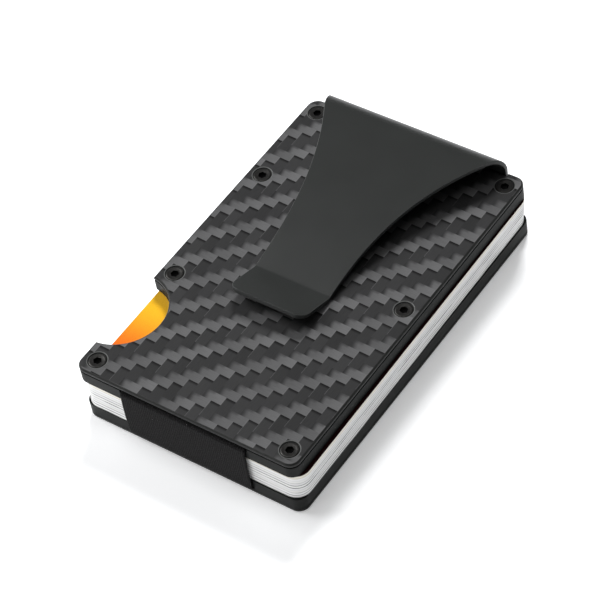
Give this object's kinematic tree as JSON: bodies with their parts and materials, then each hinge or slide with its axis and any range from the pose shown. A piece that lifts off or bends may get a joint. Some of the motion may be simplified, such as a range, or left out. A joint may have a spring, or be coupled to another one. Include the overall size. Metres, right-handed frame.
{
  "type": "card holder with money clip",
  "caption": "Slim card holder: two screwed carbon-faced plates held by elastic bands round a card stack, a thumb notch, and a sprung metal money clip on the front.",
  "frame": {"origin": "middle of the back plate's outer face, which the holder lies on", "axes": "+Y along the plates towards the clip's bend, +X towards the long side that the cards leave from, +Z out of the front face, towards the clip"},
  "size_m": [0.0551, 0.0874, 0.0208],
  "materials": {
    "carbon_laminate": "satin carbon fibre, two by two twill",
    "anodised_plate": "black anodised",
    "clip_steel": "satin black coating",
    "screw_steel": "black oxide",
    "elastic_knit": "ribbed knitted elastic",
    "card_white": "laminated card",
    "card_printed": "laminated card, printed orange to yellow"
  },
  "bodies": {
    "back_plate": {"back_outer_plate": "carbon_laminate", "back_inner_plate": "anodised_plate", "elastic_band_notch_end": "elastic_knit", "elastic_band_clip_end": "elastic_knit", "back_screw_1": "screw_steel", "back_screw_2": "screw_steel", "back_screw_3": "screw_steel", "back_screw_4": "screw_steel", "back_screw_5": "screw_steel", "back_screw_6": "screw_steel", "back_screw_7": "screw_steel"},
    "front_plate": {"front_outer_plate": "carbon_laminate", "front_inner_plate": "anodised_plate", "money_clip_base": "clip_steel", "front_screw_1": "screw_steel", "front_screw_2": "screw_steel", "front_screw_3": "screw_steel", "front_screw_4": "screw_steel", "front_screw_5": "screw_steel", "front_screw_6": "screw_steel", "front_screw_7": "screw_steel"},
    "clip_arm": {"money_clip_arm": "clip_steel"},
    "card_1": {"card_1": "card_white"},
    "card_2": {"card_2": "card_white"},
    "card_3": {"card_3": "card_white"},
    "card_4": {"card_4": "card_white"},
    "card_5": {"card_5": "card_white"},
    "card_6": {"card_6": "card_white"},
    "card_7": {"card_7": "card_white"},
    "card_8": {"card_8": "card_white"},
    "card_9": {"card_9": "card_printed"}
  },
  "joints": [
    {"name": "front_plate_lift", "type": "slide", "parent": "back_plate", "child": "front_plate", "axis": [0, 0, 1], "range_m": [0, 0.0024], "stiffness_N_per_m": 600, "springref_m": -0.003, "deforming": ["elastic_band_notch_end", "elastic_band_clip_end"]},
    {"name": "money_clip_flex", "type": "hinge", "parent": "front_plate", "child": "clip_arm", "pos_m": [0, 0.04149, 0.0189], "axis": [-1, 0, 0], "range_deg": [0, 8], "stiffness_Nm_per_rad": 4, "springref_deg": -1.15},
    {"name": "card_1_slide", "type": "slide", "parent": "back_plate", "child": "card_1", "axis": [1, 0, 0], "range_m": [0, 0.045]},
    {"name": "card_2_slide", "type": "slide", "parent": "back_plate", "child": "card_2", "axis": [1, 0, 0], "range_m": [0, 0.045]},
    {"name": "card_3_slide", "type": "slide", "parent": "back_plate", "child": "card_3", "axis": [1, 0, 0], "range_m": [0, 0.045]},
    {"name": "card_4_slide", "type": "slide", "parent": "back_plate", "child": "card_4", "axis": [1, 0, 0], "range_m": [0, 0.045]},
    {"name": "card_5_slide", "type": "slide", "parent": "back_plate", "child": "card_5", "axis": [1, 0, 0], "range_m": [0, 0.045]},
    {"name": "card_6_slide", "type": "slide", "parent": "back_plate", "child": "card_6", "axis": [1, 0, 0], "range_m": [0, 0.045]},
    {"name": "card_7_slide", "type": "slide", "parent": "back_plate", "child": "card_7", "axis": [1, 0, 0], "range_m": [0, 0.045]},
    {"name": "card_8_slide", "type": "slide", "parent": "back_plate", "child": "card_8", "axis": [1, 0, 0], "range_m": [0, 0.045]},
    {"name": "card_9_slide", "type": "slide", "parent": "back_plate", "child": "card_9", "axis": [1, 0, 0], "range_m": [0, 0.045]}
  ]
}
